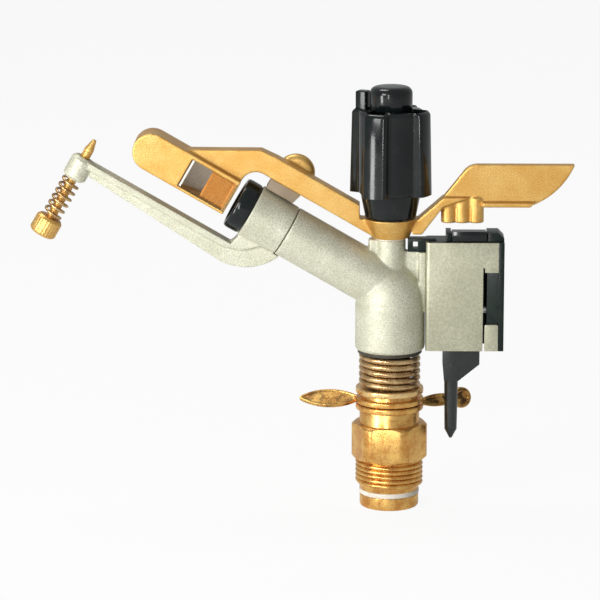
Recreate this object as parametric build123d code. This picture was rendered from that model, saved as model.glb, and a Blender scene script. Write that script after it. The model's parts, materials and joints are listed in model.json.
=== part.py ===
from build123d import *

import os
from math import cos, radians, sin

# Sector sprinkler. Millimetres, +Z up. The origin is on the swivel axis, at the top of the inlet
# thread. The jet leaves towards -X, the sector mechanism and the counterweight are towards +X.

# Fits and broken edges
running = 0.05
seat_gap = 0.02
hand_gap = 0.3
small_edge = 0.6
fine_edge = 0.4

# Inlet fitting, from the thread upwards
thread_d = 26.44
thread_h = 10.5
spigot_d = 23.0
spigot_h = 1.7
hex_af = 27.0
hex_h = 14.2
hex_chamfer = 1.0
hex_corner_d = 29.4
hex_turn = -6.0
sleeve_d = 23.3
sleeve_h = 5.4
stop_seat_d = 21.6
stop_seat_h = 6.6
stop_band_wall = 2.4

# Bearing tube, washers and spring
water_bore_d = 11.5
tube_wall = 2.2
flange_d = 23.0
flange_h = 5.0
bearing_washer_d = 23.4
bearing_washer_h = 2.0
thrust_washer_h = 2.3
spring_d = 24.0
spring_wire = 2.3
spring_h = 13.7
spring_turns = 4.5
seal_washer_d = 25.0
seal_washer_h = 1.3

# Head casting
body_d = 27.0
body_h = 18.2
body_wall = 3.2
foot_edge = 0.8
chamber_slope = 2.0
parting_band_proud = 0.35
dome_h = 14.3
dome_swell = 0.85
neck_d = 11.8
neck_h = 11.1
tube_seat_depth = 10.0
web_t = 4.2
gusset_t = 5.9
gusset_reach = 8.5
web_h = 23.2
pad_w = 10.0
pad_t = 2.6

# Barrel, collar and nozzle, measured along the jet from the swivel axis
jet_rise = 30.0
jet_over_body = 5.3
barrel_d = 20.2
barrel_bore_d = 13.6
barrel_l = 46.0
seam_gap = 0.4
barrel_thread_d = 16.2
barrel_thread_l = 9.6
collar_l = 16.2
collar_front_d = 21.4
nozzle_washer_t = 1.2
nozzle_l = 6.6
nozzle_d = 20.8
nozzle_edge = 2.4
nozzle_thread_d = 15.2
nozzle_throat_d = 7.0
nozzle_entry_d = 11.4
nozzle_land = 3.0
vane_l = 20.0
vane_t = 0.9

# Jet breaker: bracket arm below the jet, with a screw square to the jet
bracket_flange_w = 8.0
bracket_flange_t = 2.6
bracket_rib_w = 4.2
bracket_drop = 14.7
bracket_root_t = 8.4
bracket_tip_t = 4.8
breaker_reach = 127.6
boss_d = 9.4
boss_h = 9.6
boss_edge = 1.2
boss_drop = 19.0
screw_d = 4.0
screw_point_l = 4.5
screw_point_r = 0.4
screw_tip_drop = 6.4
knob_d = 10.6
knob_h = 7.6
breaker_spring_d = 8.0
breaker_spring_wire = 1.1
breaker_spring_l = 17.4
breaker_spring_turns = 6

# Swing arm on its fulcrum pin
pin_d = 5.0
pin_foot = 9.0
arm_washer_t = 0.6
hub_foot_d = 14.6
hub_rim_d = 21.4
hub_h = 7.7
hub_floor = 2.6
hub_wall = 1.5
bush_d = 8.0
bush_h = 7.4
arm_w = 8.0
arm_root = 14.0
arm_neck_l = 7.0
arm_slope_l = 24.0
arm_over_jet = 15.2
arm_t = 8.2
arch_clear = 2.4
spoon_w = 15.0
spoon_wall = 1.6
spoon_drop = 5.8
spoon_rise = 8.7
spoon_l = 42.8
vane_window_l = 8.8
vane_panel_l = 11.4
vane_panel_depth = 0.7
vane_bar = 1.2
bend_r = 13.6
vane_lining_t = 0.8
pad_gap = 0.15
pad_l = 13.0
pad_taper = 1.2
rear_lump_reach = 54.0
rear_lump_r = 7.4
rear_lump_t = 5.6
rear_lump_proud = 4.4
rear_lump_edge = 2.4
weight_reach = 70.6
weight_top_over_hub = 28.6
weight_h = 16.2
weight_near = 9.5
weight_slope_l = 10.0
weight_toe_l = 17.0
weight_t = 4.0
weight_lip_w = 9.0
weight_lip_t = 1.8
nub_r = 2.95
nub_pitch = 5.3
nub_count = 3
nub_start = 22.35
nub_h = 10.2
nub_edge = 1.1
nub_foot_over_hub = 5.9

# Tension cap
cap_gap = 0.4
cap_foot_d = 19.6
cap_foot_h = 9.0
cap_core_d = 25.2
cap_h = 32.6
cap_cavity_d = 17.0
cap_roof = 7.2
cap_flare = 1.8
lobe_reach = 15.9
lobe_w = 9.6
lobe_corner_r = 2.2
lobe_edge = 1.2
lobe_count = 4
lobe_turn = -26.0
index_h = 6.6
index_w = 4.6
index_t = 4.6
index_in = 1.6
cap_nut_d = 16.4
cap_nut_h = 9.2
cap_nut_edge = 2.4
pin_in_nut = 5.5
return_spring_d = 12.4
return_spring_wire = 1.4
return_spring_h = 20.0
return_spring_turns = 8

# Sector mechanism
box_x0 = 13.7
box_w = 27.9
box_depth = 15.0
box_foot = 44.2
box_h = 42.6
sheet_t = 0.9
sheet_bend_r = 1.4
slot_w = 0.7
slot_rise = 1.8
side_strip_w = 5.2
end_plate_t = 2.2
side_window_foot = 10.4
side_window_h = 20.6
frame_wall = 1.6
back_t = 1.2
post_w = 4.4
lug_w = 2.0
lug_reach = 4.0
lug_proud = 0.6
ear_t = 1.3
ear_h = 8.0
bridge_t = 3.0
peg_d = 1.8
frame_peg_rise = 3.0
clip_reach = 6.7
clip_h = 5.0
clip_w = 6.0
clip_hole_w = 1.9
clip_hole_in = 2.0
clip_hole_h = 3.0
lever_pivot_over_foot = 15.0
lever_pin_d = 3.0
lever_end_gap = 2.4
lever_head_h = 5.0
lever_t = 5.4
lever_block_drop = 6.4
lever_block_taper = 6.6
lever_blade_h = 19.0
lever_blade_t = 2.4
lever_peg_in = 1.2
lever_x0 = 20.5
trip_pin_d = 5.6
trip_pin_l = 36.4
trip_point_l = 3.6
trip_pin_in = 0.6
striker_x0 = 21.4
striker_h = 2.6
striker_depth = 11.5
striker_pivot_in = 1.6
striker_lip_w = 1.2
striker_lip_h = 1.3
tail_in = 3.0
tail_w = 5.0
tail_t = 2.0
tail_gap = 0.5
striker_pin_d = 2.0
toggle_spring_d = 4.0
toggle_spring_wire = 0.7
toggle_spring_turns = 7
mount_screw_d = 2.5
mount_screw_head_d = 4.0
mount_screw_head_h = 1.3

# Sector stops
stop_band_h = 2.3
stop_reach = 35.0
leaf_w = 9.0
leaf_t = 1.5
leaf_rim = 0.9
leaf_bite = 0.6
leaf_root_w = 2.4
leaf_tip_w = 1.0
dish_depth = 0.4
leaf_tilt = 30.0
eye_d = 8.2
eye_t = 2.4
eye_rim = 1.6
eye_tilt = 80.0
wedge_w = 5.0
wedge_root_w = 1.6
right_stop_turn = 24.0

# Heights worked out from the sizes above
hex_top = hex_h
sleeve_top = hex_top + sleeve_h
stop_seat_top = sleeve_top + stop_seat_h
thread_foot = -thread_h
fitting_foot = thread_foot - spigot_h
tube_d = water_bore_d + 2 * tube_wall
stop_band_d = stop_seat_d + 2 * stop_band_wall
tube_foot = fitting_foot - bearing_washer_h - flange_h
spring_foot = stop_seat_top + thrust_washer_h
body_foot = spring_foot + spring_h + seal_washer_h
body_top = body_foot + body_h
neck_foot = body_top + dome_h
neck_top = neck_foot + neck_h
hub_foot = neck_top + arm_washer_t
hub_rim = hub_foot + hub_h
cap_foot = hub_rim + cap_gap
cap_skirt = cap_foot + cap_foot_h
cap_top = cap_skirt + cap_h
jet_height = body_top + jet_over_body
collar_front = barrel_l + collar_l
nozzle_front = collar_front + nozzle_l
spoon_start = nozzle_front + arch_clear
spoon_end = spoon_start + spoon_l
box_x1 = box_x0 + box_w
box_top = box_foot + box_h
web_top = hub_foot - clip_h - hand_gap
web_foot = web_top - web_h
spoon_window_end = spoon_start + vane_panel_l + vane_window_l
lever_pivot = box_foot + lever_pivot_over_foot
lever_blade_top = lever_pivot + lever_blade_h
lever_x1 = box_x1 - post_w - lever_end_gap
lever_peg_x = box_x0 + sheet_t + mount_screw_head_h + hand_gap

jet_dir = Vector(-cos(radians(jet_rise)), 0, sin(radians(jet_rise)))
jet_plane = Plane(origin=(0, 0, jet_height), x_dir=jet_dir, z_dir=(0, 1, 0))
across_jet = Plane(origin=(0, 0, jet_height), x_dir=(0, 1, 0), z_dir=jet_dir)
flow_plane = Plane(origin=(0, 0, jet_height), x_dir=jet_dir, z_dir=jet_plane.y_dir)
breaker_foot = jet_plane.from_local_coords(Vector(breaker_reach, 0, 0))
breaker_plane = Plane(origin=breaker_foot, x_dir=(0, 1, 0), z_dir=jet_plane.y_dir)


def slab(plane, face, width):
    """A flat profile given its width equally to both sides of its plane."""
    return extrude(plane * face, amount=width / 2, both=True)


def block(x0, x1, y0, y1, z0, z1):
    """A straight block between those limits."""
    middle = Pos((x0 + x1) / 2, (y0 + y1) / 2, (z0 + z1) / 2)
    return middle * Box(x1 - x0, y1 - y0, z1 - z0)


def turned(points, plane=Plane.XZ, axis=Axis.Z):
    """A turned piece from half of its section, as radius and height pairs."""
    return revolve(plane * Polygon(*points, align=None), axis=axis)


def rod(diameter, foot, height):
    """A round bar on the swivel axis."""
    return extrude(Plane.XY.offset(foot) * Circle(diameter / 2), amount=height)


def rod_x(diameter, start, end, y, z):
    """A round bar along X."""
    return Pos((start + end) / 2, y, z) * Rot(0, 90, 0) * Cylinder(diameter / 2, end - start)


def ring(outer_d, inner_d, foot, height):
    """A plain washer or tube on the swivel axis."""
    blank = Circle(outer_d / 2) - Circle(inner_d / 2)
    return extrude(Plane.XY.offset(foot) * blank, amount=height)


def jet_ring(outer_d, inner_d, start, length):
    """A plain washer or tube on the jet axis."""
    blank = Circle(outer_d / 2) - Circle(inner_d / 2)
    return extrude(across_jet.offset(start) * blank, amount=length)


def jet_rod(diameter, start, length):
    return extrude(across_jet.offset(start) * Circle(diameter / 2), amount=length)


def jet_cone(start_d, end_d, start, length):
    foot = across_jet.offset(start) * Circle(start_d / 2)
    end = across_jet.offset(start + length) * Circle(end_d / 2)
    return loft(Sketch() + [foot, end])


def coil(outer_d, wire, length, turns):
    """A coil spring that stands on the XY plane, its wire just inside its stated length."""
    radius = (outer_d - wire) / 2
    rise = length - wire
    path = Helix(pitch=rise / turns, height=rise, radius=radius)
    section = Plane(origin=path @ 0, z_dir=path % 0) * Circle(wire / 2)
    return Pos(0, 0, wire / 2) * sweep(section, path=path)


def inlet_fitting():
    flats = extrude(RegularPolygon(hex_af / 2, 6, major_radius=False), amount=hex_h)
    flats = Rot(0, 0, hex_turn) * flats
    flat_r = hex_af / 2
    corner_r = hex_corner_d / 2
    rounded = turned(
        [
            (0, 0),
            (flat_r, 0),
            (corner_r, hex_chamfer),
            (corner_r, hex_h - hex_chamfer),
            (flat_r, hex_h),
            (0, hex_h),
        ]
    )
    body = flats & rounded
    body += rod(sleeve_d, hex_top, sleeve_h)
    body += rod(stop_seat_d, sleeve_top, stop_seat_h)
    body += rod(thread_d, thread_foot, thread_h)
    body += rod(spigot_d, fitting_foot, spigot_h)
    return body - rod(tube_d + 2 * running, fitting_foot, stop_seat_top - fitting_foot)


def bearing_tube():
    barrel = ring(tube_d, water_bore_d, tube_foot, body_foot + tube_seat_depth - tube_foot)
    flange = ring(flange_d, water_bore_d, tube_foot, flange_h)
    lower_rim = flange.faces().sort_by(Axis.Z)[0].edges().sort_by(SortBy.RADIUS)[-1]
    return barrel + chamfer(lower_rim, small_edge)


def stop_band(foot):
    band = ring(stop_band_d, stop_seat_d + 2 * running, foot, stop_band_h)
    rims = band.edges().filter_by(GeomType.CIRCLE).group_by(SortBy.RADIUS)[-1]
    return chamfer(rims, fine_edge)


def stop_leaf(reach, width, root_w):
    """A leaf-shaped finger with a dished middle, pointing along +X from the band."""
    root = stop_band_d / 2 - leaf_bite
    middle = (root + reach) / 2
    upper = ThreePointArc((root, root_w / 2), (middle, width / 2), (reach, leaf_tip_w / 2))
    lower = ThreePointArc((root, -root_w / 2), (middle, -width / 2), (reach, -leaf_tip_w / 2))
    root_edge = Line((root, root_w / 2), (root, -root_w / 2))
    tip_edge = Line((reach, leaf_tip_w / 2), (reach, -leaf_tip_w / 2))
    outline = make_face([upper, lower, root_edge, tip_edge])
    leaf = extrude(outline, amount=leaf_t / 2, both=True)
    inner = offset(outline, amount=-leaf_rim, kind=Kind.INTERSECTION)
    dish = extrude(Plane.XY.offset(leaf_t / 2 - dish_depth) * inner, amount=leaf_t)
    return leaf - dish


def stop_left():
    foot = sleeve_top + 2 * seat_gap + stop_band_h + hand_gap
    leaf = Rot(-leaf_tilt, 0, 0) * stop_leaf(stop_reach, leaf_w, leaf_root_w)
    return stop_band(foot) + Pos(0, 0, foot + stop_band_h / 2) * Rot(0, 0, 180) * leaf


def stop_right():
    foot = sleeve_top + seat_gap
    eye_x = stop_reach - eye_d / 2
    wedge = stop_leaf(eye_x, wedge_w, wedge_root_w)
    eye = Cylinder(eye_d / 2, eye_t)
    eye = fillet(eye.edges(), small_edge)
    dish = Pos(0, 0, eye_t / 2) * Cylinder(eye_d / 2 - eye_rim, 2 * dish_depth)
    finger = Rot(eye_tilt, 0, 0) * (wedge + Pos(eye_x, 0, 0) * (eye - dish))
    return stop_band(foot) + Pos(0, 0, foot + stop_band_h / 2) * Rot(0, 0, right_stop_turn) * finger


def head_casting():
    """The hollow cast body with its dome, neck, slanted barrel and the web for the box."""
    r = body_d / 2
    dome_r = r - parting_band_proud
    neck_r = neck_d / 2
    outline = [
        Polyline(
            (0, body_foot), (r - foot_edge, body_foot), (r, body_foot + foot_edge), (r, body_top),
            (dome_r, body_top),
        ),
        ThreePointArc(
            (dome_r, body_top), (dome_swell * dome_r, body_top + 0.62 * dome_h), (neck_r, neck_foot)
        ),
        Polyline((neck_r, neck_foot), (neck_r, neck_top), (0, neck_top), (0, body_foot)),
    ]
    shell = revolve(Plane.XZ * make_face(outline), axis=Axis.Z)
    shell += jet_rod(barrel_d, 0, barrel_l)
    shell += jet_rod(barrel_thread_d, barrel_l, barrel_thread_l)
    gusset = Polygon(
        (0, neck_foot), (-2 * gusset_reach, neck_foot), (-gusset_reach, neck_top), (0, neck_top),
        align=None,
    )
    shell += slab(Plane.XZ, gusset, gusset_t) & rod(2 * gusset_reach, neck_foot, neck_h)
    pad_face = box_x0 - pad_t
    shell += block(0, pad_face, -web_t / 2, web_t / 2, web_foot, web_top)
    shell += block(pad_face, box_x0, -pad_w / 2, pad_w / 2, web_foot, web_top)
    chamber_foot = body_foot + tube_seat_depth
    chamber_r = r - body_wall
    chamber = turned(
        [
            (0, chamber_foot),
            (tube_d / 2, chamber_foot),
            (chamber_r, chamber_foot + chamber_slope),
            (chamber_r, body_top),
            (0.8 * chamber_r, body_top + 0.45 * dome_h),
            (0.5 * neck_r, neck_foot - body_wall),
            (0, neck_foot - body_wall),
        ]
    )
    shell -= chamber
    shell -= rod(tube_d + 2 * seat_gap, body_foot, tube_seat_depth)
    shell -= jet_rod(barrel_bore_d, 0, barrel_l + barrel_thread_l)
    shell -= rod(pin_d, neck_top - pin_foot, pin_foot)
    for spot in mount_screw_spots():
        shell -= spot * Cylinder(mount_screw_d / 2, 2 * pad_t)
    return shell


def mount_screw_spots():
    """Where the two screws pass the box wall, with their axes along X."""
    height = web_top - mount_screw_head_d / 2 - hand_gap
    side = pad_w / 2 - mount_screw_d * 0.9
    return [Pos(box_x0, y, height) * Rot(0, 90, 0) for y in (-side, side)]


def mount_screws():
    length = pad_t + sheet_t
    shank = Pos(0, 0, length / 2 - pad_t) * Cylinder(mount_screw_d / 2, length)
    head = Cylinder(mount_screw_head_d / 2, mount_screw_head_h)
    screw = shank + Pos(0, 0, sheet_t + mount_screw_head_h / 2) * head
    return Compound(children=[spot * screw for spot in mount_screw_spots()])


def straightener():
    """Three crossed vanes that calm the water in the barrel."""
    start = barrel_l - vane_l
    reach = barrel_bore_d - 2 * seat_gap
    vanes = Sketch()
    for turn in range(3):
        vanes += Rot(0, 0, 60 * turn) * Rectangle(reach, vane_t)
    vanes &= Circle(reach / 2)
    return extrude(across_jet.offset(start) * vanes, amount=vane_l)


def nozzle_washer():
    start = barrel_l + barrel_thread_l
    return jet_ring(barrel_thread_d - 2 * seat_gap, nozzle_entry_d, start, nozzle_washer_t)


def bracket_collar():
    """The collar screwed on the barrel, with the bracket arm that carries the jet breaker."""
    start = barrel_l + seam_gap
    front = collar_front
    nozzle_seat = barrel_l + barrel_thread_l + nozzle_washer_t
    under = 1 - barrel_d / 2
    inner = -bracket_drop
    ridge = inner - bracket_flange_t
    root = inner - bracket_root_t
    tip = inner - bracket_tip_t
    flange = Polygon(
        (front - 1, under),
        (front + 0.4, inner),
        (breaker_reach, inner),
        (breaker_reach, ridge),
        (front + 3, ridge),
        (front - 4.5, ridge + 2.2),
        (start + 5, under),
        align=None,
    )
    rib = [
        Polyline(
            (start - 3, under),
            (front - 2, under),
            (front + 2, ridge + 1),
            (breaker_reach, ridge + 1),
            (breaker_reach, tip),
            (front + 1, root),
        ),
        ThreePointArc((front + 1, root), (front - 9, root + 2.6), (start - 3, under)),
    ]
    body = jet_cone(barrel_d, collar_front_d, start, front - start)
    body += slab(jet_plane, flange, bracket_flange_w)
    body += slab(jet_plane, make_face(rib), bracket_rib_w)
    boss = Cylinder(boss_d / 2, boss_h)
    boss = chamfer(boss.edges(), boss_edge)
    boss_place = breaker_plane * Pos(0, 0, -boss_drop)
    body += boss_place * boss
    body -= jet_rod(barrel_d + 2 * hand_gap, start - collar_l, collar_l)
    body -= jet_rod(barrel_thread_d + 2 * seat_gap, start, nozzle_seat - start)
    body -= jet_rod(nozzle_thread_d + 2 * seat_gap, nozzle_seat, front - nozzle_seat)
    return body - boss_place * Cylinder(screw_d / 2 + running, 2 * boss_h)


def nozzle():
    seat = barrel_l + barrel_thread_l + nozzle_washer_t
    land = nozzle_front - nozzle_land
    shoulder = jet_rod(nozzle_d, collar_front, nozzle_l)
    shoulder = fillet(shoulder.edges().filter_by(GeomType.CIRCLE), nozzle_edge)
    body = shoulder + jet_rod(nozzle_thread_d, seat, collar_front + nozzle_edge - seat)
    throat = jet_cone(nozzle_entry_d, nozzle_throat_d, seat, land - seat)
    return body - throat - jet_rod(nozzle_throat_d, land, nozzle_land)


def breaker_screw():
    knob_face = boss_drop + boss_h / 2 + breaker_spring_l
    r = screw_d / 2
    shaft = turned(
        [
            (0, -screw_tip_drop),
            (screw_point_r, -screw_tip_drop),
            (r, -screw_tip_drop - screw_point_l),
            (r, -knob_face - knob_h / 2),
            (0, -knob_face - knob_h / 2),
        ]
    )
    knob = Pos(0, 0, -knob_face - knob_h / 2) * Cylinder(knob_d / 2, knob_h)
    return breaker_plane * (shaft + fillet(knob.edges(), small_edge))


def breaker_spring():
    boss_foot = boss_drop + boss_h / 2
    length = breaker_spring_l - 2 * seat_gap
    spring = coil(breaker_spring_d, breaker_spring_wire, length, breaker_spring_turns)
    return breaker_plane * Pos(0, 0, -boss_foot - breaker_spring_l + seat_gap) * spring


def fulcrum_pin():
    foot = neck_top - pin_foot
    bar = rod(pin_d, foot, cap_top + pin_in_nut - foot)
    return chamfer(bar.edges(), fine_edge)


def swing_arm():
    """The sprung arm: bar, hub, hollow spoon, counterweight and the stubs for the striker."""
    low = arm_over_jet
    high = low + arm_t
    mid = (spoon_rise - spoon_drop) / 2
    round_x = spoon_end - (spoon_rise + spoon_drop) / 2
    turn_in = spoon_start - arm_neck_l
    crest = nozzle_front + 1.6
    outline = [
        Line((arm_root, low), (turn_in, low)),
        ThreePointArc((turn_in, low), (spoon_start - 1.9, low - 1.7), (spoon_start, spoon_rise)),
        Polyline(
            (spoon_start, spoon_rise),
            (spoon_start, mid),
            (round_x, mid),
            (round_x, spoon_rise),
            (spoon_start + arm_slope_l, spoon_rise),
            (crest, high - 0.6),
            (crest - arm_neck_l, high),
            (arm_root + arm_t / 2, high),
            (arm_root, low),
        ),
    ]
    bar = slab(jet_plane, make_face(outline), arm_w)
    bar -= rod(cap_core_d - fine_edge, hub_rim, cap_h)
    bar -= rod(hub_foot_d, hub_foot - hub_h, 2 * hub_h)
    foot_r = hub_foot_d / 2
    rim_r = hub_rim_d / 2
    hub = turned(
        [
            (bush_d / 2, hub_foot),
            (foot_r, hub_foot),
            (rim_r, hub_rim),
            (rim_r - hub_wall, hub_rim),
            (foot_r - 0.6 * hub_wall, hub_foot + hub_floor),
            (bush_d / 2, hub_foot + hub_floor),
        ]
    )
    spoon_face = [
        Line((spoon_start, -spoon_drop), (round_x, -spoon_drop)),
        ThreePointArc((round_x, -spoon_drop), (spoon_end, mid), (round_x, spoon_rise)),
        Polyline((round_x, spoon_rise), (spoon_start, spoon_rise), (spoon_start, -spoon_drop)),
    ]
    spoon = slab(jet_plane, make_face(spoon_face), spoon_w)
    arm = bar + hub + spoon - jet_channel()
    lump = fillet(Cylinder(rear_lump_r, rear_lump_t).edges(), rear_lump_edge)
    lump_height = high + rear_lump_proud - rear_lump_r
    behind = (arm_w + rear_lump_t) / 2 - small_edge
    arm += jet_plane * Pos(rear_lump_reach, lump_height, behind) * lump
    return arm + counterweight()


def bend_centre():
    """The channel turns sideways on this centre, and leaves through the window."""
    return spoon_window_end - bend_r, spoon_w / 2 - spoon_wall - bend_r


def channel_height():
    return spoon_rise + spoon_drop - 2 * spoon_wall


def jet_channel():
    """The space inside the spoon, with the side window and the shallow panel beside it."""
    half = spoon_w / 2 - spoon_wall
    out = spoon_w / 2 + 1
    cx, cy = bend_centre()
    slope = bend_r / 2**0.5
    window = spoon_window_end - vane_window_l
    outline = [
        Polyline((spoon_start - 1, -half), (cx, -half)),
        ThreePointArc((cx, -half), (cx + slope, -cy - slope), (cx + bend_r, -cy)),
        Polyline(
            (cx + bend_r, -cy), (cx + bend_r, out), (window, out), (window, half),
            (spoon_start - 1, half), (spoon_start - 1, -half),
        ),
    ]
    floor = flow_plane.offset(spoon_wall - spoon_drop)
    void = extrude(floor * make_face(outline), amount=channel_height())
    panel = Rectangle(vane_panel_l - vane_bar, 2, align=(Align.MIN, Align.MIN))
    panel = Pos(spoon_start + vane_bar, spoon_w / 2 - vane_panel_depth) * panel
    return void + extrude(floor * panel, amount=channel_height())


def jet_vane():
    """A curved steel lining where the jet turns sideways."""
    cx, cy = bend_centre()
    root = 2**0.5 / 2
    inner = bend_r - vane_lining_t
    outline = [
        ThreePointArc((cx, -cy - bend_r), (cx + root * bend_r, -cy - root * bend_r), (cx + bend_r, -cy)),
        Line((cx + bend_r, -cy), (cx + inner, -cy)),
        ThreePointArc((cx + inner, -cy), (cx + root * inner, -cy - root * inner), (cx, -cy - inner)),
        Line((cx, -cy - inner), (cx, -cy - bend_r)),
    ]
    foot = flow_plane.offset(spoon_wall - spoon_drop)
    return extrude(foot * make_face(outline), amount=channel_height())


def arm_bumper():
    """The block under the arm that knocks against the collar."""
    low = collar_front_d / 2 + pad_gap
    front = collar_front - small_edge
    block_face = Polygon(
        (front - pad_l, arm_over_jet), (front - pad_l + pad_taper, low), (front, low),
        (front, arm_over_jet), align=None,
    )
    return slab(jet_plane, block_face, arm_w - 1)


def counterweight():
    """The fin behind the hub, on a strut, with its lip and the row of stubs."""
    top = hub_foot + weight_top_over_hub
    low = top - weight_h
    near = hub_rim_d / 2 + weight_near
    heel = weight_reach - weight_toe_l
    crown = near + weight_slope_l
    blade = [
        Polyline((near, low), (near, low + 3.6), (crown - 2.6, top - 3.3)),
        ThreePointArc((crown - 2.6, top - 3.3), (crown - 0.2, top - 0.9), (crown + 2.8, top)),
        Line((crown + 2.8, top), (weight_reach, top)),
        ThreePointArc((weight_reach, top), (weight_reach - 9, low + 4.4), (heel, low)),
        Line((heel, low), (near, low)),
    ]
    body = slab(Plane.XZ, make_face(blade), weight_t)
    lip_x = nub_start + nub_count * nub_pitch - nub_r
    lip = Polygon(
        (lip_x, low), (heel, low), (heel + weight_lip_t, low + weight_lip_t),
        (lip_x, low + weight_lip_t), align=None,
    )
    body += slab(Plane.XZ, lip, weight_lip_w)
    rim = hub_rim_d / 2
    strut_foot = hub_foot + 1.6
    strut = Polygon(
        (rim - 4.4, strut_foot), (rim + 1.4, strut_foot), (near, low), (crown, low + 3.6),
        (near, low + 3.6), (rim + 1.2, hub_rim + 1), (rim - 1.2, hub_rim - 1), align=None,
    )
    body += slab(Plane.XZ, strut, arm_w)
    body -= rod(hub_rim_d - 2 * hub_wall, hub_foot, cap_h)
    nub = rod(2 * nub_r, hub_foot + nub_foot_over_hub, nub_h)
    nub = fillet(nub.faces().sort_by(Axis.Z)[-1].edges(), nub_edge)
    for k in range(nub_count):
        body += Pos(nub_start + k * nub_pitch, 0) * nub
    return body


def tension_cap():
    """The lobed cap that is turned by hand, hollow over the return spring."""
    foot_r = cap_foot_d / 2
    core_r = cap_core_d / 2
    body = turned(
        [
            (0, cap_foot),
            (foot_r, cap_foot),
            (foot_r + cap_flare, cap_skirt),
            (core_r, cap_skirt + lobe_edge),
            (core_r, cap_top - lobe_edge),
            (core_r - lobe_edge, cap_top),
            (0, cap_top),
        ]
    )
    rib = Rectangle(lobe_reach, lobe_w, align=(Align.MIN, Align.CENTER))
    rib = fillet(rib.vertices().group_by(Axis.X)[-1], lobe_corner_r)
    lobe = extrude(Plane.XY.offset(cap_skirt) * rib, amount=cap_h)
    crest = lobe.faces().sort_by(Axis.Z)[-1].edges().sort_by(Axis.X)[-1]
    lobe = chamfer(crest, lobe_edge)
    for k in range(lobe_count):
        body += Rot(0, 0, lobe_turn + k * 360 / lobe_count) * lobe
    index = Rectangle(index_t, index_w, align=(Align.MAX, Align.CENTER))
    index = extrude(Plane.XY.offset(cap_skirt + cap_h / 2) * index, amount=cap_h / 2 + index_h)
    body += Rot(0, 0, lobe_turn + 180) * Pos(lobe_reach - index_in, 0) * index
    body -= rod(cap_cavity_d, cap_foot, cap_top - cap_roof - cap_foot)
    return body - rod(pin_d + 2 * running, cap_foot, cap_top - cap_foot)


def cap_nut():
    foot = cap_top + running
    nut = rod(cap_nut_d, foot, cap_nut_h)
    nut = fillet(nut.faces().sort_by(Axis.Z)[-1].edges(), cap_nut_edge)
    return nut - rod(pin_d, foot, pin_in_nut - running)


def return_spring():
    foot = hub_foot + hub_floor + hand_gap
    spring = coil(return_spring_d, return_spring_wire, return_spring_h, return_spring_turns)
    return Pos(0, 0, foot) * spring


def sector_housing():
    """A folded sheet box: front, left and back walls, with the right end open."""
    y = box_depth / 2
    t = sheet_t
    outer = Pos(box_x0, 0) * Rectangle(box_w, box_depth, align=(Align.MIN, Align.CENTER))
    outer = fillet(outer.vertices().group_by(Axis.X)[0], sheet_bend_r)
    inner = Pos(box_x0 + t, 0) * Rectangle(box_w, box_depth - 2 * t, align=(Align.MIN, Align.CENTER))
    body = extrude(Plane.XY.offset(box_foot) * (outer - inner), amount=box_h)
    strip_x = box_x1 - side_strip_w
    window_top = box_foot + side_window_foot + side_window_h
    slot_top = window_top + slot_rise
    notch = Polygon(
        (strip_x - slot_w, box_foot), (box_x1, box_foot), (box_x1, window_top),
        (strip_x, window_top), (strip_x, slot_top), (strip_x - slot_w, slot_top), align=None,
    )
    body -= Pos(0, -y, 0) * slab(Plane.XZ, notch, 4 * t)
    side = clip_w / 2 + running
    body -= block(box_x0 - t, box_x0 + 2 * t, -side, side, web_top - running, box_top)
    for spot in mount_screw_spots():
        body -= spot * Cylinder(mount_screw_d / 2 + seat_gap, 4 * t)
    return body


def mechanism_frame():
    """The moulded frame inside the sheet box, which carries the lever and the striker."""
    left = box_x0 + sheet_t + seat_gap
    side = box_depth / 2 - sheet_t - seat_gap
    post_x = box_x1 - post_w
    end = box_x1 + end_plate_t
    striker_gap_x = striker_x0 + lug_w
    bridge_x = left + bridge_t
    body = block(left, box_x1, side - back_t, side, box_foot, box_top)
    body += block(post_x, box_x1, -side, side, box_foot, box_top)
    body += block(box_x1, end, -box_depth / 2, box_depth / 2, box_foot, box_top)
    body += block(left, striker_gap_x, -side, side, box_top - frame_wall, box_top)
    ear_foot = lever_pivot - ear_h / 2
    body += block(left, left + ear_t, -lug_reach, side, ear_foot, ear_foot + ear_h)
    lug_top = box_top + striker_h + lug_proud
    for start, stop in ((striker_x0, striker_gap_x), (post_x, end)):
        body += block(start, stop, -lug_reach, side, box_top, lug_top)
    far = body.edges().filter_by(Axis.Y).group_by(Axis.Z)[-1].sort_by(Axis.X)[-1]
    body = chamfer(far, end_plate_t)
    half = clip_w / 2
    body += block(clip_reach, bridge_x, -half, half, web_top, web_top + clip_h)
    body += block(left, bridge_x, -half, half, web_top, box_top)
    hole_x = clip_reach + clip_hole_in
    hole_foot = web_top + (clip_h - clip_hole_h) / 2
    body -= block(hole_x, hole_x + clip_hole_w, -half, half, hole_foot, hole_foot + clip_hole_h)
    body -= rod(neck_d + 2 * hand_gap, web_top, clip_h)
    body -= lever_pin_rod(lever_pin_d)
    body -= striker_pin_rod(striker_pin_d)
    return body + rod_x(peg_d, left, lever_x0 - hand_gap, 0, lever_pivot + frame_peg_rise)


def lever_pin_rod(diameter):
    start = box_x0 + sheet_t + seat_gap
    return rod_x(diameter, start, box_x1 - post_w / 2, 0, lever_pivot)


def striker_back():
    return box_depth / 2 - sheet_t - seat_gap - back_t - hand_gap


def striker_foot():
    return box_top + hand_gap


def striker_pin_rod(diameter):
    y = striker_back() - striker_pivot_in
    z = striker_foot() + striker_h / 2
    return rod_x(diameter, striker_x0, box_x1 - post_w / 2, y, z)


def lever_pin():
    return lever_pin_rod(lever_pin_d)


def striker_pin():
    return striker_pin_rod(striker_pin_d)


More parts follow.
